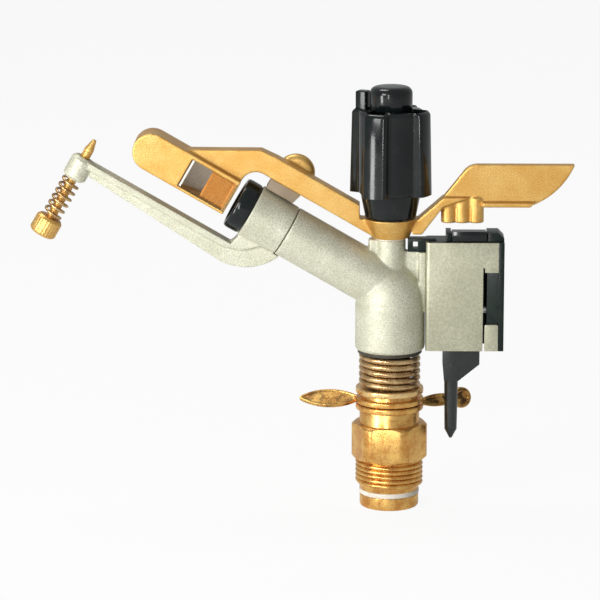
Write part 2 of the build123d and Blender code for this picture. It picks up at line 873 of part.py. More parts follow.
def trip_lever():
    """The lever that the stops push: a block on its pin, with a blade above and a pin below."""
    head_top = lever_pivot + lever_head_h
    block_foot = box_foot - lever_block_drop
    taper_foot = block_foot - lever_block_taper
    pin_left = lever_x0 + trip_pin_in
    pin_right = pin_left + trip_pin_d
    profile = Polygon(
        (lever_x0, head_top), (lever_x1, head_top), (lever_x1, block_foot), (pin_right, taper_foot),
        (pin_left, taper_foot), (lever_x0, block_foot), align=None,
    )
    body = slab(Plane.XZ, profile, lever_t)
    blade_t = lever_blade_t / 2
    body += block(lever_x0, lever_x1 - 1, -blade_t, blade_t, lever_pivot, lever_blade_top)
    tip = box_foot - trip_pin_l
    r = trip_pin_d / 2
    point_top = tip + trip_point_l
    pin = turned([(0, tip), (0.5, tip), (0.86 * r, point_top), (r, block_foot), (0, block_foot)])
    body += Pos(pin_left + r, 0, 0) * pin
    body += rod_x(peg_d, lever_peg_x, lever_x0 + 1, 0, lever_blade_top - lever_peg_in)
    return body - lever_pin_rod(lever_pin_d + 2 * running)


def toggle_spring():
    foot = lever_pivot + frame_peg_rise + peg_d / 2 + seat_gap
    top = lever_blade_top - lever_peg_in - peg_d / 2 - seat_gap
    spring = coil(toggle_spring_d, toggle_spring_wire, top - foot, toggle_spring_turns)
    return Pos(box_x0 + sheet_t + hand_gap + toggle_spring_d / 2, 0, foot) * spring


def striker():
    """The flap on top of the box, whose lip rises in the path of the arm's stubs."""
    start = striker_x0 + lug_w + hand_gap
    end = box_x1 - post_w - hand_gap
    back = striker_back()
    front = back - striker_depth
    foot = striker_foot()
    top = foot + striker_h
    body = block(start, end, front, back, foot, top)
    body += block(start, end, front, front + striker_lip_w, foot, top + striker_lip_h)
    tail_x = start + tail_in
    body += block(tail_x, tail_x + tail_w, -tail_t, 0, lever_blade_top + tail_gap, top)
    return body - striker_pin_rod(striker_pin_d + 2 * running)


def cover_clip():
    """The small sheet tongue that closes the lower corner of the box front."""
    start = box_x1 - side_strip_w
    front = -box_depth / 2
    top = box_foot + side_window_foot
    plate = block(start, box_x1, front, front + sheet_t, box_foot, top)
    return fillet(plate.edges().filter_by(Axis.Y).group_by(Axis.Z)[-1], small_edge)


def build_all():
    """Every piece by its name."""
    return {
        "inlet_fitting": inlet_fitting(),
        "bearing_washer": ring(
            bearing_washer_d, tube_d + 2 * running, fitting_foot - bearing_washer_h, bearing_washer_h
        ),
        "thrust_washer": ring(stop_band_d, tube_d + 2 * running, stop_seat_top, thrust_washer_h),
        "bearing_tube": bearing_tube(),
        "bearing_spring": Pos(0, 0, spring_foot)
        * coil(spring_d, spring_wire, spring_h, spring_turns),
        "seal_washer": ring(
            seal_washer_d, tube_d + 2 * seat_gap, body_foot - seal_washer_h, seal_washer_h
        ),
        "stop_left": stop_left(),
        "stop_right": stop_right(),
        "head_casting": head_casting(),
        "mount_screws": mount_screws(),
        "straightener": straightener(),
        "nozzle_washer": nozzle_washer(),
        "bracket_collar": bracket_collar(),
        "nozzle": nozzle(),
        "breaker_screw": breaker_screw(),
        "breaker_spring": breaker_spring(),
        "fulcrum_pin": fulcrum_pin(),
        "arm_washer": ring(neck_d, pin_d + 2 * running, neck_top, arm_washer_t),
        "swing_arm": swing_arm(),
        "arm_bush": ring(bush_d, pin_d + 2 * running, hub_foot, bush_h),
        "jet_vane": jet_vane(),
        "arm_bumper": arm_bumper(),
        "return_spring": return_spring(),
        "tension_cap": tension_cap(),
        "cap_nut": cap_nut(),
        "sector_housing": sector_housing(),
        "mechanism_frame": mechanism_frame(),
        "cover_clip": cover_clip(),
        "trip_lever": trip_lever(),
        "lever_pin": lever_pin(),
        "toggle_spring": toggle_spring(),
        "striker": striker(),
        "striker_pin": striker_pin(),
    }


os.makedirs("parts", exist_ok=True)
for name, piece in build_all().items():
    export_step(piece, f"parts/{name}.step")
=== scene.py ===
import json
from math import cos, pi, radians, sin

import bmesh
import bpy
from mathutils import Matrix, Vector


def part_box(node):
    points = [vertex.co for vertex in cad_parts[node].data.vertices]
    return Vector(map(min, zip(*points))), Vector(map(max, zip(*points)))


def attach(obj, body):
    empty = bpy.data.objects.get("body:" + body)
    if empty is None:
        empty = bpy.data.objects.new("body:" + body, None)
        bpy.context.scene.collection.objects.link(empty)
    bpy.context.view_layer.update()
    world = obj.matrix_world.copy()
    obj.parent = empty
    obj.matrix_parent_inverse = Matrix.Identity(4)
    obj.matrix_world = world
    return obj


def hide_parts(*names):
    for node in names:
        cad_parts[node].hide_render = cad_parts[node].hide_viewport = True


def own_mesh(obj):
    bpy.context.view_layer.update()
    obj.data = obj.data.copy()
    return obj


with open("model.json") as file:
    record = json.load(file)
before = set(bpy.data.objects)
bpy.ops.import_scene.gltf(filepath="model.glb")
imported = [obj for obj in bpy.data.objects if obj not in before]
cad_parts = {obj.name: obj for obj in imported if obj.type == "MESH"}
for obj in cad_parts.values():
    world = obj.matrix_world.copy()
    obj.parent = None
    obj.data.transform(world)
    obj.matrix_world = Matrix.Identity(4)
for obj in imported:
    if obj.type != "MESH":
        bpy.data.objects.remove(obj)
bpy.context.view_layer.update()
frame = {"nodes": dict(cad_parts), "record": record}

# Sector sprinkler. Metres, +Z up; the origin is on the swivel axis at the top of the inlet thread.

mm = 0.001
nodes = frame["nodes"]

# The sizes of the pieces that are drawn here are in millimetres, up to the photograph's frame.

# The jet, and the panel and window in the spoon's side: along the jet and over its axis
jet_rise = radians(30)
jet_height = 67.0
panel_span = (72.4, 82.6)
panel_heights = (-4.2, 7.1)
window_end = 91.4
spoon_face = 6.1

# The inlet thread
thread_root_r = 12.06
thread_crest_r = 13.22
thread_pitch = 25.4 / 14
thread_low = -10.51
ridge_low = -9.6
ridge_length = 8.7

# The bearing tube, what turns on it, and its spring
water_r = 5.75
tube_r = 7.95
tube_clearance = 0.05
tube_top = 53.5
flange_r = 11.5
flange_low = -19.2
flange_top = -14.2
bearing_washer_r = 11.7
bearing_washer_h = 2.0
thrust_washer_r = 13.2
thrust_washer_h = 2.3
seal_washer_r = 12.5
seal_washer_h = 1.3
finger_root_r = 13.6
bearing_gap_foot = 28.5
bearing_gap_l = 13.7
bearing_spring_r = 12.0
bearing_spring_turns = 4.5
bearing_wire_r = 1.15

# The nozzle, with its dish round the throat
nozzle_back = 56.8
collar_front = 62.2
nozzle_front = 68.8
nozzle_entry_r = 5.7
nozzle_thread_r = 7.5
nozzle_r = 10.4
dish_r = 8.3
throat_r = 3.5
throat_back = 65.8

# The jet breaker, from the jet's axis down
breaker_reach = 127.6
screw_tip = -6.4
screw_tip_r = 0.75
screw_r = 1.8
screw_thread_top = -11.4
screw_ridge_h = 0.25
knob_r = 5.3
knob_end_r = 4.4
knob_h = 7.6
knob_flutes = 26
boss_low = 23.8
breaker_spring_l = 17.4
breaker_spring_r = 4.0
breaker_spring_turns = 6
breaker_wire_r = 0.55

# The tension cap, its four ribs, its index post and its nut
cap_foot = 95.8
cap_skirt = 104.8
cap_top = 137.4
cap_foot_r = 9.8
cap_skirt_r = 11.6
cap_r = 12.6
pin_hole_r = 2.6
rib_foot = cap_skirt + 0.2
rib_r = 16.08
rib_taper = 0.8
rib_half = 4.8
rib_squareness = 18
rib_root_squareness = 22
rib_dome = 1.6
rib_dome_drop = 1.2
rib_turn = radians(-26)
index_foot = 121.1
index_top = 144.0
index_r = 14.3
index_depth = 4.6
index_half = 2.3
index_corner = 0.7
cap_nut_r = 8.2
cap_nut_h = 9.2
cap_nut_gap = 0.05

# Edges that turn by more degrees stay creases, and are broken on the sheet and moulded pieces
crease = 32
broken_edge = 35

# The photograph's frame
picture = 600
axis_px = 390.0
hex_foot_px = 457.6
mm_per_px = 0.3877
camera_turn = radians(1.0)
camera_rise = radians(12.5)
lens_mm = 200.0
sensor_mm = 36.0

# The floor's half width in metres, the white that the camera sees of it near and far, the share
# of that white in polished faces, and the strength of the world's own light
floor_half = 6.0
floor_white = 0.92
floor_seen = 0.955
white_in_gloss = 0.35
world_light = 0.15


def add_camera():
    """A long lens at the photograph's angle, with the swivel axis at the photograph's pixel."""
    side = (picture / 2 - axis_px) * mm_per_px * mm
    rise = (hex_foot_px - picture / 2) * mm_per_px * mm / cos(camera_rise)
    aim = Vector((side / cos(camera_turn), 0, rise))
    away = Vector((
        sin(camera_turn) * cos(camera_rise), -cos(camera_turn) * cos(camera_rise),
        sin(camera_rise),
    ))
    distance = picture * mm_per_px * mm * lens_mm / sensor_mm
    data = bpy.data.cameras.new("camera")
    data.lens = lens_mm
    data.sensor_width = sensor_mm
    data.clip_start = 0.01
    data.clip_end = 20
    camera = bpy.data.objects.new("camera", data)
    camera.location = aim + away * distance
    camera.rotation_euler = (-away).to_track_quat("-Z", "Y").to_euler()
    bpy.context.collection.objects.link(camera)
    bpy.context.scene.camera = camera


class Wire:
    """A socket of a material's node tree, on which sums and products can be written."""

    def __init__(self, tree, socket):
        self.tree = tree
        self.socket = socket

    def math(self, operation, *others):
        return self.tree.add("ShaderNodeMath", {"operation": operation}, [self, *others])

    def __add__(self, other):
        return self.math("ADD", other)

    def __mul__(self, other):
        return self.math("MULTIPLY", other)

    def __sub__(self, other):
        return self.math("SUBTRACT", other)

    def __rsub__(self, other):
        return self.tree.add("ShaderNodeMath", {"operation": "SUBTRACT"}, [other, self])

    __radd__ = __add__
    __rmul__ = __mul__

    def step(self, low, high):
        """0 below low, 1 above high, and smooth between."""
        settings = {"interpolation_type": "SMOOTHSTEP"}
        return self.tree.add("ShaderNodeMapRange", settings, [self, low, high, 0.0, 1.0])


class Shading:
    """The shader nodes of a material or of the world."""

    def __init__(self, owner):
        owner.use_nodes = True
        self.nodes = owner.node_tree.nodes
        self.links = owner.node_tree.links

    def add(self, kind, settings=None, values=(), output=0):
        """One output of a new node. Its values go by place or by name, and so does the output."""
        node = self.nodes.new(kind)
        for name, value in (settings or {}).items():
            setattr(node, name, value)
        pairs = values.items() if isinstance(values, dict) else enumerate(values)
        for name, value in pairs:
            if isinstance(value, Wire):
                self.links.new(value.socket, node.inputs[name])
            else:
                node.inputs[name].default_value = value
        return Wire(self, node.outputs[output])

    def seen_white(self):
        """1 where the camera looks or light passes through, and a share of it in gloss."""
        looks, gloss, passes = (
            self.add("ShaderNodeLightPath", output=f"Is {ray} Ray")
            for ray in ("Camera", "Glossy", "Transmission")
        )
        return looks.math("MAXIMUM", gloss * white_in_gloss).math("MAXIMUM", passes)


class Finish(Shading):
    """One material with its Principled shader, and the calls that make its pattern."""

    def __init__(self, name, **uniform):
        self.material = bpy.data.materials.new(name)
        super().__init__(self.material)
        self.shader = self.nodes["Principled BSDF"]
        for socket, value in uniform.items():
            self.shader.inputs[socket.replace("_", " ")].default_value = value
        self.place = self.add("ShaderNodeTexCoord", output="Object")

    def noise(self, size_mm, detail=3.0, roughness=0.55, stretch=None):
        """Noise whose features are about size_mm across."""
        place = self.place
        if stretch:
            place = self.add("ShaderNodeMapping", None, {"Vector": place, "Scale": stretch})
        values = {"Vector": place, "Scale": 1 / (size_mm * mm)}
        values |= {"Detail": detail, "Roughness": roughness}
        return self.add("ShaderNodeTexNoise", {"noise_dimensions": "3D"}, values)

    def axis(self, letter):
        """The place along X, Y or Z, in metres."""
        return self.add("ShaderNodeSeparateXYZ", None, [self.place], output=letter)

    def edges(self):
        """High on outward edges, low in corners, from the mesh's own shape."""
        return self.add("ShaderNodeNewGeometry", output="Pointiness")

    def blend(self, factor, first, second):
        """Two colours, mixed by the colour sockets of a Mix node."""
        settings = {"data_type": "RGBA", "clamp_factor": True}
        values = {0: factor, 6: self.colour(first), 7: self.colour(second)}
        return self.add("ShaderNodeMix", settings, values, output=2)

    def colour(self, value):
        return (*value, 1) if isinstance(value, tuple) else value

    def bump(self, height, depth_mm, strength=1.0, after=None):
        """The normal of a relief, laid over that of another relief."""
        values = {"Height": height, "Distance": depth_mm * mm, "Strength": strength}
        if after:
            values["Normal"] = after
        return self.add("ShaderNodeBump", None, values)

    def set(self, **links):
        """Feeds the shader's sockets and gives the material."""
        for socket, wire in links.items():
            self.links.new(wire.socket, self.shader.inputs[socket.replace("_", " ")])
        return self.material


def cast_pattern(f, tones, grain_mm, roughness):
    """The colour, roughness and normal of a casting: cloudy, with a fine sand grain and pits, and
    painted shade in its corners.
    """
    light, mid, dark = tones
    cloud = f.noise(9.0, 4.0)
    grain = f.noise(grain_mm, 3.0, 0.65)
    speck = f.noise(grain_mm * 0.35, 2.0, 0.7)
    base = f.blend(cloud.step(0.32, 0.7), mid, light)
    base = f.blend((1 - grain.step(0.36, 0.62)) * 0.6, base, dark)
    # Painted shade: the corners are darkened.
    base = f.blend((1 - f.edges().step(0.42, 0.5)) * 0.6, base, dark)
    base = f.blend(f.edges().step(0.52, 0.6) * 0.5, base, light)
    rough = roughness + (grain - 0.5) * 0.35 + (cloud - 0.5) * 0.16
    normal = f.bump(speck, 0.03, 0.5, f.bump(grain, 0.09, 0.75))
    return base, rough, normal


def cast_metal(name, tones, grain_mm, roughness, metallic):
    """A tumbled casting."""
    f = Finish(name, Metallic=metallic)
    base, rough, normal = cast_pattern(f, tones, grain_mm, roughness)
    return f.set(Base_Color=base, Roughness=rough, Normal=normal)


def arm_metal(name, tones, panel_shade_colour, outline_shade_colour):
    """The arm's casting, with a rougher panel beside the window in painted shade, a painted
    highlight on the bar past it, and lines of painted shade round the panel and window.
    """
    f = Finish(name, Metallic=0.7)
    light = tones[0]
    base, rough, normal = cast_pattern(f, tones, grain_mm=0.5, roughness=0.36)
    x, y, z = f.axis("X"), f.axis("Y"), f.axis("Z")
    along = x * -cos(jet_rise) + (z - jet_height * mm) * sin(jet_rise)
    over = x * sin(jet_rise) + (z - jet_height * mm) * cos(jet_rise)
    front = (y * -1).step((spoon_face - 0.2) * mm, (spoon_face + 0.2) * mm)

    def band(value, low, high, soft):
        inside = value.step((low - soft) * mm, (low + soft) * mm)
        return inside * (1 - value.step((high - soft) * mm, (high + soft) * mm))

    in_height = band(over, *panel_heights, 0.15)
    panel = band(along, *panel_span, 0.15) * in_height * front
    rims = band(along, panel_span[1] + 0.25, panel_span[1] + 1.0, 0.2)
    outer = band(over, panel_heights[0] - 0.55, panel_heights[0], 0.2) * band(
        along, panel_span[0] - 0.8, window_end + 0.6, 0.2
    )
    ends = band(along, window_end, window_end + 0.55, 0.15) + band(
        along, panel_span[0] - 0.7, panel_span[0], 0.15
    )
    mottle = f.noise(0.7, 3.0, 0.7).step(0.3, 0.7)
    # Painted shade in the panel's recess, broken by a mottled grain.
    base = f.blend(panel * (0.72 + mottle * 0.28), base, panel_shade_colour)
    # Painted highlight on the bar between the panel and the window.
    base = f.blend(rims * in_height * front * 0.6, base, light)
    # Painted shade: dark lines along the foot of the panel and window and at their ends.
    base = f.blend((outer + ends * in_height) * front * 0.85, base, outline_shade_colour)
    return f.set(Base_Color=base, Roughness=rough + panel * 0.2, Normal=normal)


def sheet_metal(name, tones, metallic):
    """Rolled sheet with a fine upright grain, faint stains and small scratches."""
    f = Finish(name, Metallic=metallic)
    light, mid, dark = tones
    brushed = f.noise(0.55, 3.0, 0.6, stretch=(1, 1, 0.08))
    mottle = f.noise(0.8, 3.0, 0.75)
    stain = f.noise(12.0, 3.0)
    base = f.blend(stain.step(0.3, 0.7), mid, light)
    base = f.blend((1 - mottle.step(0.34, 0.66)) * 0.55, base, dark)
    rough = 0.44 + (brushed - 0.5) * 0.3
    normal = f.bump(mottle, 0.03, 0.5, f.bump(brushed, 0.04, 0.6))
    return f.set(Base_Color=base, Roughness=rough, Normal=normal)


def turned_metal(name, tones, ring_mm=0.28, roughness=0.28, stain_and_shade=None):
    """Metal from the lathe, with rings round the upright axis and painted shade in the corners."""
    f = Finish(name, Metallic=0.85)
    light, mid, dark = tones
    ring = (f.axis("Z") * (2 * pi / (ring_mm * mm))).math("SINE")
    tarnish = f.noise(4.5, 4.0)
    fine = f.noise(0.7, 3.0)
    base = f.blend(tarnish.step(0.3, 0.68), mid, light)
    base = f.blend((1 - fine.step(0.28, 0.5)) * 0.4, base, dark)
    # Painted shade: the corners are darkened.
    base = f.blend((1 - f.edges().step(0.40, 0.5)) * 0.7, base, dark)
    # A mask given with the piece darkens it further: painted shade under the bearing spring, and
    # spots with an even darkening on the stops' fingers.
    if stain_and_shade:
        base = f.blend(stain_and_shade(f), base, stain_and_shade_colour)
    rough = roughness + (tarnish - 0.5) * 0.25 + (fine - 0.5) * 0.12
    normal = f.bump(fine, 0.02, 0.4, f.bump(ring, 0.006, 0.5))
    return f.set(Base_Color=base, Roughness=rough, Normal=normal)


def painted_shade_under_spring(f):
    """Painted shade, darkening the tube all round where the spring stands over it."""
    foot = bearing_gap_foot - 2.5
    return f.axis("Z").step(foot * mm, (foot + 3.0) * mm) * 0.97


def on_fingers(f):
    """The stops' fingers have brown spots and a faint even darkening, the right finger darker all
    over, and bright rims.
    """
    spots = f.noise(3.0, 3.0, 0.6).step(0.46, 0.62)
    x = f.axis("X")
    far = x.math("ABSOLUTE").step(finger_root_r * mm, (finger_root_r + 1.0) * mm)
    right = x.step(0.0, 1.0 * mm)
    flat = 1 - f.edges().step(0.5, 0.54)
    return far * flat * (spots * 0.55 + right * 0.3 + 0.1)


def moulded(name, tones, roughness, coat, gloss):
    """Moulded plastic with a faint flow pattern, dust and fine scuffs."""
    colour, sheen_colour = tones
    f = Finish(name, Coat_Weight=coat, Coat_Roughness=0.08, Specular_IOR_Level=gloss)
    flow = f.noise(7.0, 3.0)
    scuff = f.noise(0.5, 3.0, 0.6, stretch=(1, 1, 0.12))
    orange_peel = f.noise(0.6, 2.0)
    base = f.blend(flow.step(0.35, 0.7) * 0.6, colour, sheen_colour)
    base = f.blend(scuff.step(0.62, 0.74) * 0.25, base, sheen_colour)
    rough = roughness + (flow - 0.5) * 0.18 + scuff.step(0.6, 0.75) * 0.15
    normal = f.bump(orange_peel, 0.012, 0.5)
    return f.set(Base_Color=base, Roughness=rough, Normal=normal)


# Each finish by the call that makes it. Metals have a light, a middle and a dark tone; plastics
# have their own colour and that of their sheen.
brass_tones = ((0.90, 0.56, 0.17), (0.66, 0.31, 0.075), (0.24, 0.085, 0.03))
bronze_tones = ((0.74, 0.52, 0.26), (0.42, 0.25, 0.11), (0.06, 0.035, 0.02))
alloy_tones = ((0.80, 0.79, 0.64), (0.67, 0.665, 0.51), (0.36, 0.355, 0.26))
arm_tones = ((0.84, 0.57, 0.19), (0.75, 0.42, 0.10), (0.54, 0.25, 0.05))
# The colours of the painted shade in the arm's panel and in the lines round it.
panel_shade_colour, outline_shade_colour = (0.42, 0.16, 0.03), (0.09, 0.05, 0.02)
# Near black, for the painted shade under the bearing spring and for the spots on the stops'
# fingers.
stain_and_shade_colour = (0.05, 0.025, 0.014)
sheet_tones = ((0.62, 0.61, 0.455), (0.54, 0.53, 0.385), (0.34, 0.33, 0.235))
# The vane's tones are paler than bare steel: painted light, for a plate that stands in shade deep
# in the spoon.
vane_painted_light_tones = ((0.95, 0.93, 0.84), (0.86, 0.84, 0.75), (0.6, 0.58, 0.5))
steel_tones = ((0.75, 0.75, 0.75), (0.6, 0.6, 0.6), (0.35, 0.35, 0.35))
gloss_black = ((0.005, 0.008, 0.008), (0.012, 0.017, 0.015))
frame_black = ((0.010, 0.016, 0.013), (0.022, 0.034, 0.028))
seal_tones = ((0.05, 0.045, 0.035), (0.09, 0.08, 0.06))
pale_tones = ((0.86, 0.82, 0.72), (0.7, 0.64, 0.52))
bumper_tones = ((0.27, 0.20, 0.13), (0.36, 0.28, 0.19))
washer_tones = ((0.94, 0.69, 0.33), (0.80, 0.49, 0.18), (0.34, 0.15, 0.05))

finishes = {
    "cast_alloy": cast_metal("cast_alloy", alloy_tones, grain_mm=0.5, roughness=0.5, metallic=0.35),
    "arm_brass": arm_metal("arm_brass", arm_tones, panel_shade_colour, outline_shade_colour),
    "sheet_alloy": sheet_metal("sheet_alloy", sheet_tones, metallic=0.5),
    "inlet_brass": turned_metal("inlet_brass", brass_tones),
    "tube_brass": turned_metal("tube_brass", brass_tones, stain_and_shade=painted_shade_under_spring),
    "stop_brass": turned_metal("stop_brass", brass_tones, stain_and_shade=on_fingers),
    "washer_brass": turned_metal("washer_brass", washer_tones),
    "spring_brass": turned_metal("spring_brass", bronze_tones, ring_mm=0.5),
    "steel": turned_metal("steel", steel_tones, ring_mm=0.4, roughness=0.25),
    "vane_steel": sheet_metal("vane_steel", vane_painted_light_tones, metallic=0.0),
    "black_plastic": moulded("black_plastic", gloss_black, roughness=0.14, coat=0.15, gloss=0.3),
    "lever_plastic": moulded("lever_plastic", gloss_black, roughness=0.26, coat=0.0, gloss=0.7),
    "frame_plastic": moulded("frame_plastic", frame_black, roughness=0.28, coat=0.0, gloss=0.2),
    "seal_rubber": moulded("seal_rubber", seal_tones, roughness=0.5, coat=0.0, gloss=0.25),
    "pale_plastic": moulded("pale_plastic", pale_tones, roughness=0.42, coat=0.0, gloss=0.5),
    "bumper_plastic": moulded("bumper_plastic", bumper_tones, roughness=0.5, coat=0.0, gloss=0.5),
}

# Pieces whose finish isn't simply that of their slot
own_finish = {
    "bearing_tube": "tube_brass", "stop_left": "stop_brass", "stop_right": "stop_brass",
    "thrust_washer": "washer_brass", "seal_washer": "seal_rubber", "trip_lever": "lever_plastic",
}

record = frame["record"]
slots = {row["node"]: row["material_slot"] for row in record["subparts"]}
body_of_node = {n: b for b, names in record["behaviour"]["bodies"].items() for n in names}


def dress(piece, finish):
    """Gives a piece one finish."""
    piece.data.materials.clear()
    piece.data.materials.append(finishes[finish])


def place(name, data, node, hides=True):
    """Puts a finished mesh in the scene, on the body of the CAD node that it stands for."""
    piece = bpy.data.objects.new(name, data)
    bpy.context.collection.objects.link(piece)
    dress(piece, own_finish.get(node, slots[node]))
    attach(piece, body_of_node[node])
    if hides:
        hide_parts(node)
    return piece


# The axes on which the pieces are drawn, in millimetres
jet = Vector((-cos(jet_rise), 0, sin(jet_rise)))
over_jet = Vector((sin(jet_rise), 0, cos(jet_rise)))
across = Vector((0, 1, 0))


def axes_of(origin, up, side):
    """Places a drawing whose Z is up and whose X is side."""
    third = up.cross(side)
    rows = [[side[k], third[k], up[k], origin[k]] for k in range(3)]
    return Matrix(rows + [[0, 0, 0, 1]])


def in_metres(axes):
    """The same axes for a mesh that is in metres."""
    placed = axes.copy()
    placed.translation = axes.translation * mm
    return placed


swivel_axes = Matrix.Identity(4)
jet_axes = axes_of(Vector((0, 0, jet_height)), jet, over_jet)
breaker_axes = axes_of(Vector((0, 0, jet_height)) + jet * breaker_reach, over_jet, across)


def drawn_mesh(name, bm, sharp=crease):
    """The drawing as a mesh, smooth but for the creases where its faces turn sharply."""
    for face in bm.faces:
        face.smooth = True
    for edge in bm.edges:
        edge.smooth = len(edge.link_faces) == 2 and edge.calc_face_angle(0) < radians(sharp)
    data = bpy.data.meshes.new(name)
    bm.to_mesh(data)
    bm.free()
    return data


def closed_mesh(name, bm, sharp=crease):
    """A drawing in millimetres as a mesh in metres, with its seams closed."""
    bmesh.ops.remove_doubles(bm, verts=bm.verts, dist=0.0005)
    bmesh.ops.scale(bm, vec=(mm, mm, mm), verts=bm.verts)
    bmesh.ops.recalc_face_normals(bm, faces=bm.faces)
    return drawn_mesh(name, bm, sharp)


def plain_mesh(piece):
    """The result of an object's modifiers as a smooth mesh, in place of the object."""
    graph = bpy.context.evaluated_depsgraph_get()
    data = bpy.data.meshes.new_from_object(piece.evaluated_get(graph))
    bpy.data.objects.remove(piece)
    for polygon in data.polygons:
        polygon.use_smooth = True
    return data


def grid(bm, rows, axes):
    """Joins rings of the same number of points into a skin that closes round each ring."""
    made = [[bm.verts.new(axes @ Vector(p)) for p in row] for row in rows]
    count = len(rows[0])
    for low, high in zip(made, made[1:]):
        for k in range(count):
            j = (k + 1) % count
            bm.faces.new((low[k], low[j], high[j], high[k]))


def round_corners(section, steps=4):
    """Replaces the corners of a (radius, height, corner) section by arcs of that corner."""
    out = []
    for k, (r, z, corner) in enumerate(section):
        if not corner or k in (0, len(section) - 1):
            out.append((r, z))
            continue
        here = Vector((r, z))
        before = Vector(section[k - 1][:2]) - here
        after = Vector(section[k + 1][:2]) - here
        a = here + before.normalized() * min(corner, before.length * 0.49)
        b = here + after.normalized() * min(corner, after.length * 0.49)
        for s in range(steps + 1):
            t = s / steps
            p = a * (1 - t) ** 2 + here * (2 * t * (1 - t)) + b * t**2
            out.append((p.x, p.y))
    return out


def turned(bm, section, axes=swivel_axes, steps=128, shape=None):
    """A turned skin. shape(radius, height, angle) can move the radius for flats and flutes."""
    rows = []
    for r, z in round_corners(section):
        row = []
        for k in range(steps):
            angle = 2 * pi * k / steps
            reach = shape(r, z, angle) if shape else r
            row.append((reach * cos(angle), reach * sin(angle), z))
        rows.append(row)
    grid(bm, rows, axes)


def add_turned(name, node, section, axes=swivel_axes, steps=128, shape=None):
    """A piece that is one turned skin."""
    bm = bmesh.new()
    turned(bm, section, axes, steps, shape)
    place(name, closed_mesh(name, bm), node)


def add_cast(node, voxel, rounds):
    """A soft cast skin over a CAD node: its edges run together as they do in a mould."""
    piece = bpy.data.objects.new("soft", nodes[node].data.copy())
    bpy.context.collection.objects.link(piece)
    bm = bmesh.new()
    bm.from_mesh(piece.data)
    bmesh.ops.remove_doubles(bm, verts=bm.verts, dist=1e-6)
    bm.to_mesh(piece.data)
    bm.free()
    remesh = piece.modifiers.new("remesh", "REMESH")
    remesh.mode = "VOXEL"
    remesh.voxel_size = voxel * mm
    smooth = piece.modifiers.new("smooth", "SMOOTH")
    smooth.factor = 0.5
    smooth.iterations = rounds
    place(node + "_cast", plain_mesh(piece), node)


def add_edged(node, width, change=None):
    """A CAD node with its sharp edges broken by a small round."""
    bm = bmesh.new()
    bm.from_mesh(nodes[node].data)
    bmesh.ops.remove_doubles(bm, verts=bm.verts, dist=1e-6)
    if change:
        change(bm)
    bmesh.ops.dissolve_limit(bm, angle_limit=radians(0.4), verts=bm.verts, edges=bm.edges)
    limit = radians(broken_edge)
    sharp = [e for e in bm.edges if len(e.link_faces) == 2 and e.calc_face_angle(0) > limit]
    bmesh.ops.bevel(
        bm, geom=sharp, offset=width * mm, offset_type="OFFSET", segments=2, profile=0.5,
        affect="EDGES", clamp_overlap=True,
    )
    bmesh.ops.triangulate(bm, faces=[f for f in bm.faces if len(f.verts) > 4])
    place(node + "_edged", drawn_mesh(node + "_edged", bm), node)


class Tree:
    """A Geometry Nodes group with named inputs."""

    def __init__(self, name, inputs):
        self.group = bpy.data.node_groups.new(name, "GeometryNodeTree")
        face = self.group.interface
        self.names = {}
        for key, (kind, value) in inputs.items():
            socket = face.new_socket(key, in_out="INPUT", socket_type=kind)
            if value is not None:
                socket.default_value = value
            self.names[key] = socket.identifier
        face.new_socket("Geometry", in_out="OUTPUT", socket_type="NodeSocketGeometry")
        self.inputs = self.group.nodes.new("NodeGroupInput").outputs
        self.outputs = self.group.nodes.new("NodeGroupOutput").inputs

    def add(self, kind, settings=None, values=None):
        """The first output of a new node. Its values go by name or by place."""
        node = self.group.nodes.new(kind)
        for name, value in (settings or {}).items():
            setattr(node, name, value)
        for name, value in (values or {}).items():
            if isinstance(value, bpy.types.NodeSocket):
                self.group.links.new(value, node.inputs[name])
            else:
                node.inputs[name].default_value = value
        return node.outputs[0]

    def end(self, socket):
        self.group.links.new(socket, self.outputs[0])

    def mesh(self, name, **values):
        """The group's result with those inputs, as a plain mesh."""
        seed = bpy.data.objects.new(name, bpy.data.meshes.new(name))
        bpy.context.collection.objects.link(seed)
        modifier = seed.modifiers.new(name, "NODES")
        modifier.node_group = self.group
        for key, value in values.items():
            modifier[self.names[key]] = value
        return plain_mesh(seed)


def coil_tree():
    """Wire wound round Z: a spiral swept with a round section, or with a ridge for a thread."""
    number, whole = "NodeSocketFloat", "NodeSocketInt"
    tree = Tree(
        "coil",
        {
            "Radius": (number, 0.01),
            "Height": (number, 0.01),
            "Turns": (number, 5.0),
            "Wire": (number, 0.001),
            "Flatness": (number, 1.0),
            "Sides": (whole, 16),
            "Steps": (whole, 72),
            "Finish": ("NodeSocketMaterial", None),
        },
    )
    spiral = tree.add(
        "GeometryNodeCurveSpiral",
        None,
        {
            "Resolution": tree.inputs["Steps"],
            "Rotations": tree.inputs["Turns"],
            "Start Radius": tree.inputs["Radius"],
            "End Radius": tree.inputs["Radius"],
            "Height": tree.inputs["Height"],
        },
    )
    level = tree.add("GeometryNodeSetCurveNormal", {"mode": "Z_UP"}, {"Curve": spiral})
    ring = tree.add(
        "GeometryNodeCurvePrimitiveCircle",
        {"mode": "RADIUS"},
        {"Resolution": tree.inputs["Sides"], "Radius": tree.inputs["Wire"]},
    )
    size = tree.add("ShaderNodeCombineXYZ", None, {0: 1.0, 1: tree.inputs["Flatness"], 2: 1.0})
    shaped = tree.add("GeometryNodeTransform", None, {"Geometry": ring, "Scale": size})
    wound = tree.add(
        "GeometryNodeCurveToMesh",
        None,
        {"Curve": level, "Profile Curve": shaped, "Fill Caps": True},
    )
    real = tree.add("GeometryNodeRealizeInstances", None, {"Geometry": wound})
    named = tree.add(
        "GeometryNodeSetMaterial", None, {"Geometry": real, "Material": tree.inputs["Finish"]}
    )
    tree.end(named)
    return tree


coil = coil_tree()


